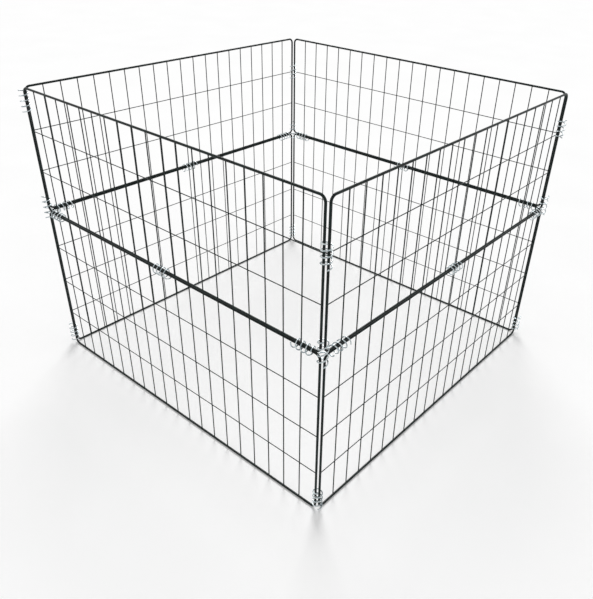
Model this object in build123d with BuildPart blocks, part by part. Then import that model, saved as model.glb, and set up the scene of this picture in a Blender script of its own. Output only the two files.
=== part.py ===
"""Wire leaf bin: four folding walls of welded mesh in two tiers, held by coil clips.

Each wall is a lower and an upper panel, one standing on the other. A panel is a rod bent round its
edge, with thin upright wires on its outer side and cross wires on its inner side. Spring coils are
screwed round the rods at the corners, where they are hinges, and round the rails between the tiers.
The origin is the middle of the bin on the ground. The front is at -Y and up is +Z.
"""

from build123d import *
import math
import os

# Overall sizes in millimetres
corner_spacing = 900.0
lower_height = 400.0
upper_height = 300.0
tier_gap = 0.3

# Welded panels
rod_diameter = 5.0
rod_bend_radius = 12.0
upright_diameter = 2.4
cross_diameter = 2.0
cells_across = 20
lower_rows = 4
upper_rows = 3

# Coil clips
coil_wire = 2.5
coil_bore = 17.0
coil_clearance = 0.3
coil_turns = 4
coil_pitch = 12.0

# The coils at the middle of the corners are pulled longer, to pass between the bends of two panels
straddle_pitch = 14.0
straddle_turns_below = 1.5
straddle_levelling = 1.15

# How far the square corners fold either way, until the coils along two rails nearly meet
fold_angle = 30.0
fold_clearance = 0.7

# Turns of each upper corner coil below the highest cross wire, or None for a coil at the very top
turns_below_cross_wire = {"front_left": 2, "front_right": 1, "back_right": 2, "back_left": None}

walls = ["front", "right", "back", "left"]
corners = ["front_left", "front_right", "back_right", "back_left"]

# Sizes that follow from these
rod_radius = rod_diameter / 2
half_span = corner_spacing / 2
rod_offset = coil_bore / 2 - coil_clearance - rod_radius
panel_width = corner_spacing - 2 * rod_offset
cell_width = panel_width / cells_across
upper_base = lower_height + tier_gap
bin_height = upper_base + upper_height
coil_radius = (coil_bore + coil_wire) / 2
coil_length = coil_turns * coil_pitch
fold_half_angle = math.radians(90 - fold_angle) / 2
rail_coil_inset = (coil_radius + coil_wire / 2) / math.tan(fold_half_angle) + coil_wire / 2 + fold_clearance

# A corner coil's wire is on the outside of the corner at its ends, furthest from both walls
outside_azimuth = 225.0
wall_side_azimuth = 45.0
from_outside_to_wall = outside_azimuth - 90 - fold_angle


def frame(height):
    """One rod bent round the edge of a panel and welded to itself."""
    side = panel_width / 2
    low = rod_radius
    high = height - rod_radius
    with BuildPart() as rod:
        with BuildLine(Plane.XZ) as edge:
            FilletPolyline(
                (0, low),
                (side, low),
                (side, high),
                (-side, high),
                (-side, low),
                radius=[0] + 4 * [rod_bend_radius],
                close=True,
            )
        with BuildSketch(Plane(origin=edge.line @ 0, z_dir=edge.line % 0)):
            Circle(rod_radius)
        sweep()
    return rod.part


def uprights(height):
    """Upright wires between two rails, coped to them and lying on the outer side of the panel."""
    with BuildPart() as wire:
        with BuildSketch(Plane.XY.offset(rod_radius)):
            with Locations((0, -upright_diameter / 2)):
                Circle(upright_diameter / 2)
        extrude(amount=height - rod_diameter)
        with Locations((0, 0, rod_radius), (0, 0, height - rod_radius)):
            Cylinder(rod_radius, cell_width, rotation=(0, 90, 0), mode=Mode.SUBTRACT)
    with BuildPart() as group:
        with GridLocations(cell_width, cell_width, cells_across - 1, 1):
            add(wire.part)
    return group.part


def cross_height(height, rows, row):
    """Height of the cross wire above a row, counted from one at the bottom of a panel."""
    return rod_radius + row * (height - rod_diameter) / rows


def cross_wires(height, rows):
    """Cross wires between the two side rods, lying on the inner side of the uprights."""
    with BuildPart() as wire:
        with BuildSketch(Plane.YZ.offset(-panel_width / 2)):
            with Locations((cross_diameter / 2, 0)):
                Circle(cross_diameter / 2)
        extrude(amount=panel_width)
        with Locations((-panel_width / 2, 0), (panel_width / 2, 0)):
            Cylinder(rod_radius, rod_diameter, mode=Mode.SUBTRACT)
    with BuildPart() as group:
        with Locations(*[(0, 0, cross_height(height, rows, row)) for row in range(1, rows)]):
            add(wire.part)
    return group.part


def coil_point(angle, pitch, levelling):
    """A point of the coil's centre line, and its heading there, at an angle about Z in radians."""
    lead = pitch / (2 * math.pi)
    rise = lead * (angle - levelling * math.sin(angle))
    point = Vector(coil_radius * math.cos(angle), coil_radius * math.sin(angle), rise)
    slope = lead * (1 - levelling * math.cos(angle))
    heading = Vector(-coil_radius * math.sin(angle), coil_radius * math.cos(angle), slope)
    return point, heading.normalized()


def biarc_joint(start, start_heading, end, end_heading):
    """The point where two arcs of equal reach meet, and their shared heading there."""
    chord = end - start
    headings = start_heading + end_heading
    a = 2 * (start_heading.dot(end_heading) - 1)
    b = -2 * chord.dot(headings)
    c = chord.dot(chord)
    reach = (-b - math.sqrt(b * b - 4 * a * c)) / (2 * a)
    near = start + start_heading * reach
    far = end - end_heading * reach
    return (near + far) / 2, far - near


def least_gap(line):
    """The least gap between one turn of a coil and the next, measured on points of its line."""
    steps = 4 * 8 * coil_turns
    half_turn = steps // coil_turns // 2
    points = [line @ (step / steps) for step in range(steps + 1)]
    gaps = []
    for index, point in enumerate(points):
        for other in points[index + half_turn:]:
            gaps.append((other - point).length - coil_wire)
    return min(gaps)


def coil(pitch, levelling, first_turn, name):
    """One unbroken spring wire about Z, wound on arcs of under a quarter turn."""
    with BuildPart() as spring:
        with BuildLine() as line:
            for quarter in range(4 * coil_turns):
                angle = 2 * math.pi * (first_turn + quarter / 4)
                start, heading = coil_point(angle, pitch, levelling)
                end, end_heading = coil_point(angle + math.pi / 2, pitch, levelling)
                joint, joint_heading = biarc_joint(start, heading, end, end_heading)
                TangentArc(start, joint, tangent=heading)
                TangentArc(joint, end, tangent=joint_heading)
        with BuildSketch(Plane(origin=line.line @ 0, z_dir=line.line % 0)):
            Circle(coil_wire / 2)
        sweep()
    print(f"{name}: {coil_turns} turns, least gap to itself {least_gap(line.line):.2f} mm")
    return spring.part


def place(piece, spot, name):
    """Put a piece where it belongs and write it under its name."""
    with BuildPart() as placed:
        with Locations(spot):
            add(piece)
    placed.part.label = name
    export_step(placed.part, f"parts/{name}.step")


def turned(index):
    """The turn about Z that takes the front wall, or its left corner, to another one."""
    return Location((0, 0, 0), (0, 0, 90 * index))


def corner_spot(index, height, azimuth):
    """A corner coil's place: its height on the hinge line, and which way its first wire faces."""
    return turned(index) * Location((-half_span, -half_span, height), (0, 0, azimuth))


def rail_spot(index, start, upright):
    """A rail coil's place: it hangs on the upper rail and its wire passes inside an upright."""
    height = upper_base + rod_diameter + coil_clearance - coil_bore / 2
    along_rail = Plane(origin=(start, -half_span, height), x_dir=(0, 0, 1), z_dir=(1, 0, 0))
    phase = 270 - 360 * (upright - start) / coil_pitch
    return turned(index) * along_rail.location * Location((0, 0, 0), (0, 0, phase))


def upper_coil_base(turns_below):
    """Where an upper corner coil starts, by the highest cross wire or by the top rail's bend."""
    if turns_below is None:
        return bin_height - coil_length - lowest_coil_base
    wire_height = upper_base + cross_height(upper_height, upper_rows, upper_rows - 1)
    return wire_height - turns_below * coil_pitch


# A rod leaves the coil's bore a little way into its bend, which limits the end coils
bend_relief = math.sqrt(coil_clearance * (2 * rod_bend_radius - coil_clearance))
bend_clear_height = rod_radius + rod_bend_radius - bend_relief + coil_clearance + coil_wire / 2
lowest_coil_base = bend_clear_height - coil_pitch * from_outside_to_wall / 360

os.makedirs("parts", exist_ok=True)

# Welded panels
panels = {
    "lower_frame": (frame(lower_height), 0),
    "lower_uprights": (uprights(lower_height), 0),
    "lower_cross_wires": (cross_wires(lower_height, lower_rows), 0),
    "upper_frame": (frame(upper_height), upper_base),
    "upper_uprights": (uprights(upper_height), upper_base),
    "upper_cross_wires": (cross_wires(upper_height, upper_rows), upper_base),
}
for index, wall in enumerate(walls):
    for name, (piece, base) in panels.items():
        place(piece, turned(index) * Location((0, -half_span, base)), f"{wall}_{name}")

# Coils round the corner rods
plain_coil = coil(coil_pitch, 0, 0, "plain coil")
straddle_coil = coil(straddle_pitch, straddle_levelling, -straddle_turns_below, "straddling coil")
for index, corner in enumerate(corners):
    upper_spot = corner_spot(index, upper_coil_base(turns_below_cross_wire[corner]), outside_azimuth)
    middle_spot = corner_spot(index, lower_height + tier_gap / 2, wall_side_azimuth)
    place(plain_coil, upper_spot, f"{corner}_upper_coil")
    place(straddle_coil, middle_spot, f"{corner}_middle_coil")
    place(plain_coil, corner_spot(index, lowest_coil_base, outside_azimuth), f"{corner}_bottom_coil")

# Coils round the rails between the tiers, each with one upright pair between its turns
end_upright = panel_width / 2 - cell_width
rail_coils = {
    "left": (rail_coil_inset - half_span, -end_upright),
    "middle": (-coil_length / 2, 0),
    "right": (half_span - rail_coil_inset - coil_length, end_upright),
}
for index, wall in enumerate(walls):
    for side, (start, upright) in rail_coils.items():
        place(plain_coil, rail_spot(index, start, upright), f"{wall}_rail_{side}_coil")
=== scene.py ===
"""Dresses the wire leaf bin: coated welded panels, bright zinc coil clips and a white studio floor.

Every piece is made in the front wall's place and turned about Z to its own wall or corner.
"""

import math
import random

import bmesh
import bpy
from mathutils import Matrix, Vector


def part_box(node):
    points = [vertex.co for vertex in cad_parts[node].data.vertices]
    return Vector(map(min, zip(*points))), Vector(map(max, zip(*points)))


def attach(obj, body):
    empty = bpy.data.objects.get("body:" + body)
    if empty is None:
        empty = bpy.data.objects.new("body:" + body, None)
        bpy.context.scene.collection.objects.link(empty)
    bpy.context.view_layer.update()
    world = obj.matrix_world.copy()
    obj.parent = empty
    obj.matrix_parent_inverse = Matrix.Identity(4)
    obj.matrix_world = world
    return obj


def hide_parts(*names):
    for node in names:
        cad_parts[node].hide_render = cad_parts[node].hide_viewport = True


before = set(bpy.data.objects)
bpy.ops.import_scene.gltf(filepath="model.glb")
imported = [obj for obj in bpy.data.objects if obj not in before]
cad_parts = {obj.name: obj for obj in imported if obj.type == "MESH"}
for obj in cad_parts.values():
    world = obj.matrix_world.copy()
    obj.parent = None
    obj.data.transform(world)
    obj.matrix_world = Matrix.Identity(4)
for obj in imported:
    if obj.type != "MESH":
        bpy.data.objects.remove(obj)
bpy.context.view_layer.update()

# The walls in turn from the front, and the corner at the left end of each
WALLS = ["front", "right", "back", "left"]
CORNERS = ["front_left", "front_right", "back_right", "back_left"]
CORNER_BODY = {
    "front_left": "front_wall",
    "front_right": "front_wall",
    "back_right": "back_wall",
    "back_left": "back_wall",
}

# Counts that the panels were welded with
CELLS_ACROSS = 20
ROWS = {"lower": 4, "upper": 3}

# The coil clips, in metres, as the solids have them
COIL_TURNS = 4
COIL_WIRE = 0.0025
COIL_RADIUS = 0.00975
COIL_PITCH = 0.012
STRADDLE_PITCH = 0.014
STRADDLE_LEVELLING = 1.15
STRADDLE_TURNS_BELOW = 1.5
CORNER_COIL_START = math.radians(225)
WALL_SIDE = math.radians(45)

# How finely a coil is wound, and how far its cut ends are eased as a share of the wire
COIL_STEPS_A_TURN = 28
COIL_SIDES = 14
CUT_END_EASING = 0.12

# Weld beads: half sizes along the wall, through it and up, as shares of the wire that is welded on
UPRIGHT_BEAD = (0.66, 0.6, 0.42)
CROSSING_BEAD = (0.72, 0.42, 0.72)
CROSS_BEAD = (0.42, 0.6, 0.66)
BEAD_SIZES = (0.88, 1.12)
BEAD_TILT = 0.15

# The ring where an edge rod closes, in metres, with its outline as places along it and shares outward
RING_PROUD = 0.00025
RING_REACH = 0.0014
RING_SIDES = 16
RING_OUTLINE = ((-1.0, -1.0), (-0.5, 0.7), (0.0, 1.0), (0.5, 0.7), (1.0, -1.0))
RING_SIZES = (0.7, 1.0)

# Colours outside the shader groups
COAT_IN_VIEWER = (0.02, 0.03, 0.028, 1)
ZINC_IN_VIEWER = (0.5, 0.54, 0.56, 1)
ZINC_BRIGHT = (0.64, 0.69, 0.7, 1)
ZINC_DULL = (0.22, 0.27, 0.295, 1)
DUST_ON_COAT = (0.16, 0.15, 0.13, 1)
DUST_ON_ZINC = (0.4, 0.39, 0.36, 1)
PAPER = (0.93, 0.93, 0.93, 1)
PAPER_GRAIN = (0.95, 0.95, 0.95, 1)
WHITE = (1, 1, 1, 1)

# Heights of the finest relief, in metres
COAT_RELIEF = 0.0001
DIE_LINE_RELIEF = 0.00003

# Sockets of a colour mix node, which share their names with its number sockets
MIX_FACTOR = 0
MIX_COLOURS = (6, 7)
MIX_RESULT = 2

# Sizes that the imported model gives
FRAME_LOW, FRAME_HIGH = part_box("front_lower_frame")
UPPER_LOW, UPPER_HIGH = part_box("front_upper_frame")
ROD = FRAME_HIGH.y - FRAME_LOW.y
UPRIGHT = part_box("front_lower_uprights")[1].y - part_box("front_lower_uprights")[0].y
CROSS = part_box("front_lower_cross_wires")[1].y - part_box("front_lower_cross_wires")[0].y
PANEL_WIDTH = FRAME_HIGH.x - FRAME_LOW.x - ROD
WALL_Y = (FRAME_LOW.y + FRAME_HIGH.y) / 2
CELL = PANEL_WIDTH / CELLS_ACROSS


def wall_turn(index):
    """The turn about Z from the front wall, or the front left corner, to another one."""
    return Matrix.Rotation(math.radians(90 * index), 4, "Z")


def new_object(name, bm, material, body, turn):
    """Makes one piece of a mesh, turned to its wall, that rides on a body of the bin."""
    bm.transform(turn)
    mesh = bpy.data.meshes.new(name)
    bm.to_mesh(mesh)
    bm.free()
    for polygon in mesh.polygons:
        polygon.use_smooth = True
    mesh.materials.append(material)
    piece = bpy.data.objects.new(name, mesh)
    bpy.context.scene.collection.objects.link(piece)
    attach(piece, body)
    return piece


# Shader groups


def new_group(name, inputs, outputs):
    """An empty shader group with named number inputs and typed outputs."""
    group = bpy.data.node_groups.new(name, "ShaderNodeTree")
    for label, value in inputs.items():
        kind = "NodeSocketColor" if isinstance(value, tuple) else "NodeSocketFloat"
        socket = group.interface.new_socket(name=label, in_out="INPUT", socket_type=kind)
        socket.default_value = value
    for label, kind in outputs.items():
        group.interface.new_socket(name=label, in_out="OUTPUT", socket_type=kind)
    return group, group.nodes.new("NodeGroupInput"), group.nodes.new("NodeGroupOutput")


def add_node(tree, kind, **settings):
    """A node with some of its own settings, such as an operation or a blend type."""
    node = tree.nodes.new(kind)
    for name, value in settings.items():
        setattr(node, name, value)
    return node


def noise(tree, place, scale, detail=2.0):
    """A noise texture at a place, with a scale that is a number or a socket."""
    node = add_node(tree, "ShaderNodeTexNoise")
    node.inputs["Detail"].default_value = detail
    tree.links.new(place, node.inputs["Vector"])
    if isinstance(scale, (int, float)):
        node.inputs["Scale"].default_value = scale
    else:
        tree.links.new(scale, node.inputs["Scale"])
    return node.outputs["Fac"]


def math_node(tree, operation, first, second=None):
    """The result of one sum on sockets or numbers."""
    node = add_node(tree, "ShaderNodeMath", operation=operation)
    for index, value in enumerate([first, second]):
        if value is None:
            continue
        if isinstance(value, (int, float)):
            node.inputs[index].default_value = value
        else:
            tree.links.new(value, node.inputs[index])
    return node.outputs[0]


def remap(tree, value, low, high, to_low=0.0, to_high=1.0):
    """A value stretched from one range to another and held inside it."""
    node = add_node(tree, "ShaderNodeMapRange")
    tree.links.new(value, node.inputs["Value"])
    ends = {"From Min": low, "From Max": high, "To Min": to_low, "To Max": to_high}
    for name, end in ends.items():
        if isinstance(end, (int, float)):
            node.inputs[name].default_value = end
        else:
            tree.links.new(end, node.inputs[name])
    return node.outputs["Result"]


def blend_colours(tree, factor, first, second):
    """Two colours mixed by a factor."""
    node = add_node(tree, "ShaderNodeMix", data_type="RGBA")
    tree.links.new(factor, node.inputs[MIX_FACTOR])
    for index, colour in zip(MIX_COLOURS, (first, second)):
        if isinstance(colour, tuple):
            node.inputs[index].default_value = colour
        else:
            tree.links.new(colour, node.inputs[index])
    return node.outputs[MIX_RESULT]


def use_group(tree, group, **values):
    """A group placed in a material with its own values."""
    node = add_node(tree, "ShaderNodeGroup", node_tree=group)
    for label, value in values.items():
        node.inputs[label.replace("_", " ")].default_value = value
    return node


def dip_coat_group():
    """Plastic coat on wire: cloudy colour, a fine skin and slow waves where it ran."""
    inputs = {
        "Deep": (0.0025, 0.006, 0.0055, 1),
        "Pale": (0.008, 0.018, 0.017, 1),
        "Speck": (0.025, 0.04, 0.036, 1),
        "Cloud Scale": 60.0,
        "Skin Scale": 900.0,
        "Gloss Low": 0.2,
        "Gloss High": 0.32,
    }
    outputs = {
        "Colour": "NodeSocketColor",
        "Roughness": "NodeSocketFloat",
        "Height": "NodeSocketFloat",
    }
    group, given, made = new_group("dip_coat", inputs, outputs)
    place = add_node(group, "ShaderNodeTexCoord").outputs["Object"]
    cloud = noise(group, place, given.outputs["Cloud Scale"], 4.0)
    skin = noise(group, place, given.outputs["Skin Scale"], 2.0)
    run_scale = 140.0
    runs = noise(group, place, run_scale, 1.0)
    speck_scale = 2600.0
    specks = remap(group, noise(group, place, speck_scale, 1.0), 0.62, 0.78)
    colour = blend_colours(
        group, remap(group, cloud, 0.35, 0.68), given.outputs["Deep"], given.outputs["Pale"]
    )
    colour = blend_colours(
        group, math_node(group, "MULTIPLY", specks, 0.5), colour, given.outputs["Speck"]
    )
    rough = remap(group, cloud, 0.3, 0.7, given.outputs["Gloss Low"], given.outputs["Gloss High"])
    rough = math_node(group, "ADD", rough, math_node(group, "MULTIPLY", specks, 0.15))
    height = math_node(group, "ADD", runs, math_node(group, "MULTIPLY", skin, 0.6))
    group.links.new(colour, made.inputs["Colour"])
    group.links.new(rough, made.inputs["Roughness"])
    group.links.new(height, made.inputs["Height"])
    return group


def dust_group():
    """Settled dust: a mask on what faces up, broken up by noise."""
    group, given, made = new_group(
        "settled_dust", {"Amount": 0.3, "Patch Scale": 35.0}, {"Mask": "NodeSocketFloat"}
    )
    place = add_node(group, "ShaderNodeTexCoord").outputs["Object"]
    facing = add_node(group, "ShaderNodeSeparateXYZ")
    group.links.new(add_node(group, "ShaderNodeNewGeometry").outputs["Normal"], facing.inputs[0])
    upward = remap(group, facing.outputs["Z"], 0.25, 1.0)
    patches = noise(group, place, given.outputs["Patch Scale"], 5.0)
    broken = math_node(group, "MULTIPLY", upward, remap(group, patches, 0.4, 0.7))
    group.links.new(math_node(group, "MULTIPLY", broken, given.outputs["Amount"]), made.inputs["Mask"])
    return group


def start_material(name, colour):
    """A material with its shader, and the colour that a plain viewer shows for it."""
    material = bpy.data.materials.new(name)
    material.use_nodes = True
    material.diffuse_color = colour
    return material, material.node_tree, material.node_tree.nodes["Principled BSDF"]


def bump(tree, height, distance, shader):
    """Feeds the shader's normal from a height in metres."""
    node = add_node(tree, "ShaderNodeBump")
    node.inputs["Strength"].default_value = 1.0
    node.inputs["Distance"].default_value = distance
    tree.links.new(height, node.inputs["Height"])
    tree.links.new(node.outputs["Normal"], shader.inputs["Normal"])


def coated_steel(name, coat, dust, **values):
    """Green-black plastic coat over welded steel wire."""
    material, tree, shader = start_material(name, COAT_IN_VIEWER)
    shader.inputs["Specular IOR Level"].default_value = 0.14
    skin = use_group(tree, coat, **values)
    film = use_group(tree, dust, Amount=0.08, Patch_Scale=45.0)
    colour = blend_colours(tree, film.outputs["Mask"], skin.outputs["Colour"], DUST_ON_COAT)
    tree.links.new(colour, shader.inputs["Base Color"])
    tree.links.new(skin.outputs["Roughness"], shader.inputs["Roughness"])
    bump(tree, skin.outputs["Height"], COAT_RELIEF, shader)
    return material


def stretched(tree, place, along, across):
    """Places on a wire scaled by one number along it and another round it."""
    node = add_node(tree, "ShaderNodeMapping")
    node.inputs["Scale"].default_value = (along, across, 1.0)
    tree.links.new(place, node.inputs["Vector"])
    return node.outputs["Vector"]


def zinc_spring(name, dust):
    """Bright zinc on hard drawn wire: fine die lines along it and cloudy patches."""
    material, tree, shader = start_material(name, ZINC_IN_VIEWER)
    shader.inputs["Metallic"].default_value = 1.0
    spots = add_node(tree, "ShaderNodeTexCoord")
    line_scales = (25.0, 2600.0)
    streak_scales = (70.0, 700.0)
    cloud_scale = 110.0
    lines = noise(tree, stretched(tree, spots.outputs["UV"], *line_scales), 1.0, 3.0)
    streaks = noise(tree, stretched(tree, spots.outputs["UV"], *streak_scales), 1.0, 2.0)
    cloud = noise(tree, spots.outputs["Object"], cloud_scale, 2.0)
    shade = math_node(tree, "MULTIPLY", math_node(tree, "ADD", streaks, cloud), 0.5)
    colour = blend_colours(tree, remap(tree, shade, 0.4, 0.62), ZINC_BRIGHT, ZINC_DULL)
    film = use_group(tree, dust, Amount=0.1, Patch_Scale=120.0)
    colour = blend_colours(tree, film.outputs["Mask"], colour, DUST_ON_ZINC)
    tree.links.new(colour, shader.inputs["Base Color"])
    tree.links.new(remap(tree, shade, 0.35, 0.65, 0.12, 0.3), shader.inputs["Roughness"])
    bump(tree, lines, DIE_LINE_RELIEF, shader)
    return material


# Pieces


def tube(bm, path, radius, sides, chamfer):
    """A round wire along a path, with its arc length and girth as UVs and its cut ends eased."""
    uv = bm.loops.layers.uv.new("along")
    headings = []
    for index in range(len(path)):
        before = path[max(index - 1, 0)]
        after = path[min(index + 1, len(path) - 1)]
        headings.append((after - before).normalized())
    side = headings[0].orthogonal().normalized()
    stations = [(path[0], headings[0], radius - chamfer, 0.0)]
    first = path[0] + headings[0] * chamfer
    last = path[-1] - headings[-1] * chamfer
    middle = [first] + list(path[1:-1]) + [last]
    length = chamfer
    for index, point in enumerate(middle):
        if index:
            length += (point - middle[index - 1]).length
        stations.append((point, headings[index], radius, length))
    stations.append((path[-1], headings[-1], radius - chamfer, length + chamfer))
    rings = []
    for point, heading, reach, _ in stations:
        side = (side - heading * side.dot(heading)).normalized()
        across = heading.cross(side)
        ring = []
        for step in range(sides):
            angle = 2 * math.pi * step / sides
            ring.append(bm.verts.new(point + (side * math.cos(angle) + across * math.sin(angle)) * reach))
        rings.append(ring)
    girth = 2 * math.pi * radius
    for index in range(len(rings) - 1):
        low, high = stations[index][3], stations[index + 1][3]
        for step in range(sides):
            other = (step + 1) % sides
            face = bm.faces.new(
                (rings[index][step], rings[index][other], rings[index + 1][other], rings[index + 1][step])
            )
            turns = (step / sides * girth, (step + 1) / sides * girth)
            for loop, place in zip(
                face.loops, ((low, turns[0]), (low, turns[1]), (high, turns[1]), (high, turns[0]))
            ):
                loop[uv].uv = place
    bm.faces.new(list(reversed(rings[0])))
    bm.faces.new(rings[-1])


def coil_path(pitch, levelling, first_turn):
    """The centre line of a coil about Z, with turns that run level on the side of the walls."""
    lead = pitch / (2 * math.pi)
    path = []
    for step in range(COIL_TURNS * COIL_STEPS_A_TURN + 1):
        angle = 2 * math.pi * (first_turn + step / COIL_STEPS_A_TURN)
        rise = lead * (angle - levelling * math.sin(angle))
        path.append(Vector((COIL_RADIUS * math.cos(angle), COIL_RADIUS * math.sin(angle), rise)))
    return path


def coil_piece(node, pitch, levelling, first_turn, place, body, material):
    """A coil clip that stands for its solid, wound in place on the front wall's axes."""
    bm = bmesh.new()
    path = [place @ point for point in coil_path(pitch, levelling, first_turn)]
    tube(bm, path, COIL_WIRE / 2, COIL_SIDES, COIL_WIRE * CUT_END_EASING)
    piece = new_object(f"{node}_spring", bm, material, body, Matrix.Identity(4))
    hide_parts(node)


def corner_coils(material):
    """Three coils at each corner, seated where their solids are."""
    for index, corner in enumerate(CORNERS):
        for level in ("upper", "middle", "bottom"):
            node = f"{corner}_{level}_coil"
            low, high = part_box(node)
            centre = (low + high) / 2
            if level == "middle":
                junction = (FRAME_HIGH.z + UPPER_LOW.z) / 2
                place = Matrix.Translation((centre.x, centre.y, junction)) @ wall_turn(index)
                place = place @ Matrix.Rotation(WALL_SIDE, 4, "Z")
                coil_piece(
                    node, STRADDLE_PITCH, STRADDLE_LEVELLING, -STRADDLE_TURNS_BELOW,
                    place, CORNER_BODY[corner], material,
                )
            else:
                start = centre.z - COIL_TURNS * COIL_PITCH / 2
                place = Matrix.Translation((centre.x, centre.y, start)) @ wall_turn(index)
                place = place @ Matrix.Rotation(CORNER_COIL_START, 4, "Z")
                coil_piece(node, COIL_PITCH, 0, 0, place, CORNER_BODY[corner], material)


def rail_coils(material):
    """Three coils along each pair of rails, hung from the upper one, with uprights between turns."""
    along_rail = Matrix(((0, 0, 1, 0), (0, -1, 0, 0), (1, 0, 0, 0), (0, 0, 0, 1)))
    end_upright = PANEL_WIDTH / 2 - CELL
    for index, wall in enumerate(WALLS):
        for side, upright in (("left", -end_upright), ("middle", 0), ("right", end_upright)):
            node = f"{wall}_rail_{side}_coil"
            low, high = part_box(node)
            centre = wall_turn(-index) @ ((low + high) / 2)
            start = centre.x - COIL_TURNS * COIL_PITCH / 2
            phase = math.radians(270) - 2 * math.pi * (upright - start) / COIL_PITCH
            place = wall_turn(index) @ Matrix.Translation((start, WALL_Y, centre.z))
            place = place @ along_rail @ Matrix.Rotation(phase, 4, "Z")
            coil_piece(node, COIL_PITCH, 0, 0, place, f"{wall}_wall", material)


def bead(bm, centre, wire, shares, dice):
    """One weld bead: a squashed ball, a little different each time."""
    reach = [wire * share * dice.uniform(*BEAD_SIZES) for share in shares]
    size = Matrix.Diagonal((*reach, 1))
    turn = Matrix.Rotation(dice.uniform(-BEAD_TILT, BEAD_TILT), 4, "Y")
    bmesh.ops.create_uvsphere(
        bm, u_segments=10, v_segments=6, radius=1.0, matrix=Matrix.Translation(centre) @ turn @ size
    )


def butt_weld(bm, centre, dice):
    """The low uneven ring where the two ends of an upright edge rod are welded together."""
    rings = []
    for along, out in RING_OUTLINE:
        ring = []
        for step in range(RING_SIDES):
            angle = 2 * math.pi * step / RING_SIDES
            radius = ROD / 2 + RING_PROUD * out * dice.uniform(*RING_SIZES)
            spot = Vector((radius * math.cos(angle), radius * math.sin(angle), along * RING_REACH))
            ring.append(bm.verts.new(centre + spot))
        rings.append(ring)
    for low, high in zip(rings, rings[1:]):
        for step in range(RING_SIDES):
            other = (step + 1) % RING_SIDES
            bm.faces.new((low[step], low[other], high[other], high[step]))
    bm.faces.new(list(reversed(rings[0])))
    bm.faces.new(rings[-1])


def welds(wall, index, tier, material):
    """The beads of one panel: where its wires meet the rod, where they cross and where the rod closes."""
    dice = random.Random(f"{wall}_{tier}")
    low, high = (FRAME_LOW, FRAME_HIGH) if tier == "lower" else (UPPER_LOW, UPPER_HIGH)
    bottom, top = low.z + ROD / 2, high.z - ROD / 2
    columns = [(k - CELLS_ACROSS / 2) * CELL for k in range(1, CELLS_ACROSS)]
    rows = [bottom + k * (top - bottom) / ROWS[tier] for k in range(1, ROWS[tier])]
    upright_seat = math.sqrt((ROD / 2) ** 2 - (UPRIGHT / 2) ** 2)
    cross_seat = math.sqrt((ROD / 2) ** 2 - (CROSS / 2) ** 2)
    bm = bmesh.new()
    for x in columns:
        for z in (bottom + upright_seat, top - upright_seat):
            bead(bm, (x, WALL_Y - UPRIGHT / 2, z), UPRIGHT, UPRIGHT_BEAD, dice)
        for z in rows:
            bead(bm, (x, WALL_Y, z), CROSS, CROSSING_BEAD, dice)
    for z in rows:
        for x in (-PANEL_WIDTH / 2 + cross_seat, PANEL_WIDTH / 2 - cross_seat):
            bead(bm, (x, WALL_Y + CROSS / 2, z), CROSS, CROSS_BEAD, dice)
    butt_weld(bm, Vector((PANEL_WIDTH / 2, WALL_Y, rows[-1] - (top - rows[-1]) / 2)), dice)
    new_object(
        f"{wall}_{tier}_welds", bm, material, f"{wall}_wall", wall_turn(index)
    )


def dress_panels(rod_material, wire_material):
    """The bent rods and straight wires keep their solids and take the coat."""
    for name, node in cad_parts.items():
        if name.endswith("_coil"):
            continue
        material = rod_material if name.endswith("_frame") else wire_material
        node.data.materials.clear()
        node.data.materials.append(material)
        for polygon in node.data.polygons:
            polygon.material_index = 0


# Studio


def seen_by_eye(tree):
    """One for what the camera sees straight, mirrored or through glass, and nought for light."""
    rays = add_node(tree, "ShaderNodeLightPath")
    seen = math_node(tree, "MAXIMUM", rays.outputs["Is Camera Ray"], rays.outputs["Is Glossy Ray"])
    return math_node(tree, "MAXIMUM", seen, rays.outputs["Is Transmission Ray"])


def studio_floor():
    """A wide white floor that keeps the bin's soft shadow."""
    half = 25.0
    bm = bmesh.new()
    bmesh.ops.create_grid(bm, x_segments=2, y_segments=2, size=half)
    mesh = bpy.data.meshes.new("studio_floor")
    bm.to_mesh(mesh)
    bm.free()
    material, tree, shader = start_material("white_paper", PAPER)
    shader.inputs["Specular IOR Level"].default_value = 0.0
    place = add_node(tree, "ShaderNodeTexCoord").outputs["Object"]
    grain = noise(tree, place, 3.0, 3.0)
    colour = blend_colours(tree, remap(tree, grain, 0.3, 0.7), PAPER, PAPER_GRAIN)
    tree.links.new(colour, shader.inputs["Base Color"])
    shader.inputs["Roughness"].default_value = 0.9
    shader.inputs["Emission Color"].default_value = WHITE
    glow = 0.085
    lift = math_node(tree, "MULTIPLY", seen_by_eye(tree), glow)
    tree.links.new(lift, shader.inputs["Emission Strength"])
    mesh.materials.append(material)
    floor = bpy.data.objects.new("studio_floor", mesh)
    bpy.context.scene.collection.objects.link(floor)


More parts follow.
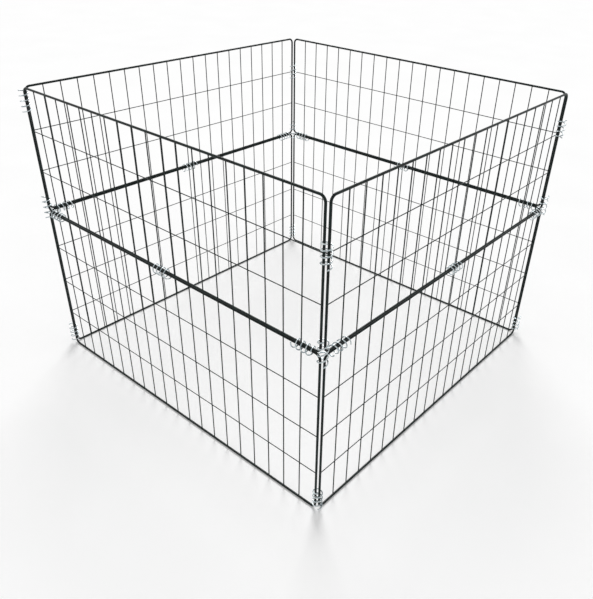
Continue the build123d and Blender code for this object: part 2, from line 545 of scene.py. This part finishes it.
def studio_world():
    """Soft light from all round, and a white sky for the camera and for reflections."""
    world = bpy.data.worlds.new("studio")
    world.use_nodes = True
    bpy.context.scene.world = world
    tree = world.node_tree
    sky = tree.nodes["Background"]
    sky.inputs["Color"].default_value = WHITE
    as_light = 0.55
    as_seen = 1.0
    strength = remap(tree, seen_by_eye(tree), 0.0, 1.0, as_light, as_seen)
    tree.links.new(strength, sky.inputs["Strength"])


def studio_lamps():
    """One broad key lamp above and behind the bin, which draws a line of light along its rails."""
    light = bpy.data.lights.new("key", "SUN")
    light.energy = 2.0
    light.angle = math.radians(25)
    lamp = bpy.data.objects.new("key", light)
    aim = Vector((-0.57, -0.5, -0.65))
    lamp.rotation_euler = aim.to_track_quat("-Z", "Y").to_euler()
    bpy.context.scene.collection.objects.link(lamp)


def camera():
    """The photograph's view: where it was taken from, which way it looked and how it was cropped."""
    place = Vector((-1.169, -1.035, 1.082))
    heading = math.radians(39.33 - 90)
    tilt = math.radians(90 - 33.0)
    roll = math.radians(2.05)
    data = bpy.data.cameras.new("camera")
    data.lens = 39.19
    data.sensor_width = 36.0
    data.shift_x = -0.0432
    data.shift_y = 0.03
    data.clip_start = 0.02
    data.clip_end = 100.0
    eye = bpy.data.objects.new("camera", data)
    turn = (
        Matrix.Rotation(heading, 4, "Z") @ Matrix.Rotation(tilt, 4, "X") @ Matrix.Rotation(roll, 4, "Z")
    )
    eye.matrix_world = Matrix.Translation(place) @ turn
    bpy.context.scene.collection.objects.link(eye)
    bpy.context.scene.camera = eye


camera()
studio_floor()
studio_world()
studio_lamps()
bpy.context.scene.view_settings.view_transform = "Standard"

coat = dip_coat_group()
dust = dust_group()
rod_coat = coated_steel("rod_coat", coat, dust, Cloud_Scale=55.0, Skin_Scale=900.0)
wire_coat = coated_steel(
    "wire_coat", coat, dust, Cloud_Scale=90.0, Skin_Scale=1400.0, Gloss_Low=0.24, Gloss_High=0.38
)
zinc = zinc_spring("bright_zinc", dust)

dress_panels(rod_coat, wire_coat)
for wall_index, wall_name in enumerate(WALLS):
    for tier_name in ROWS:
        welds(wall_name, wall_index, tier_name, wire_coat)
corner_coils(zinc)
rail_coils(zinc)
